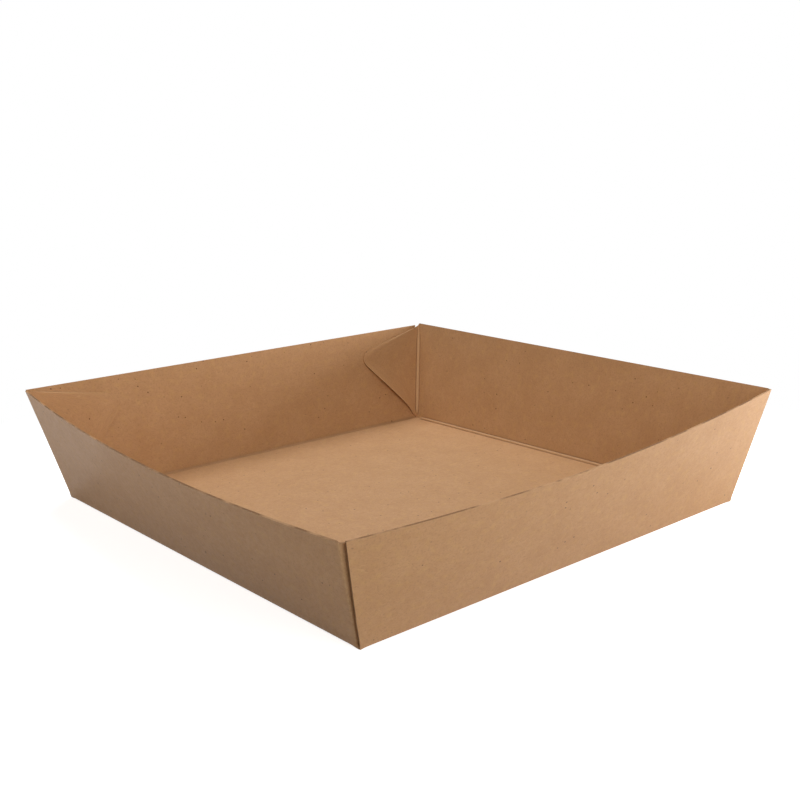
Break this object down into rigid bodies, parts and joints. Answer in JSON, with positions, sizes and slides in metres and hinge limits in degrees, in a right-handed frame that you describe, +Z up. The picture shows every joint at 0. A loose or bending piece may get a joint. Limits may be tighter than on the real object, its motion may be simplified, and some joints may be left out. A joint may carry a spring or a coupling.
{
  "type": "cardboard tray",
  "caption": "Open square paperboard tray folded from one sheet, with low walls that lean outwards and glued corner tabs.",
  "frame": {"origin": "on the base's underside, under the middle of the tray", "axes": "+Z up out of the tray's open top, X and Y along the base's edges; the walls across X carry the corner tabs"},
  "size_m": [0.2332, 0.2332, 0.047],
  "materials": {
    "kraft_board": "matte"
  },
  "bodies": {
    "root": {"tray_sheet": "kraft_board"}
  },
  "joints": []
}
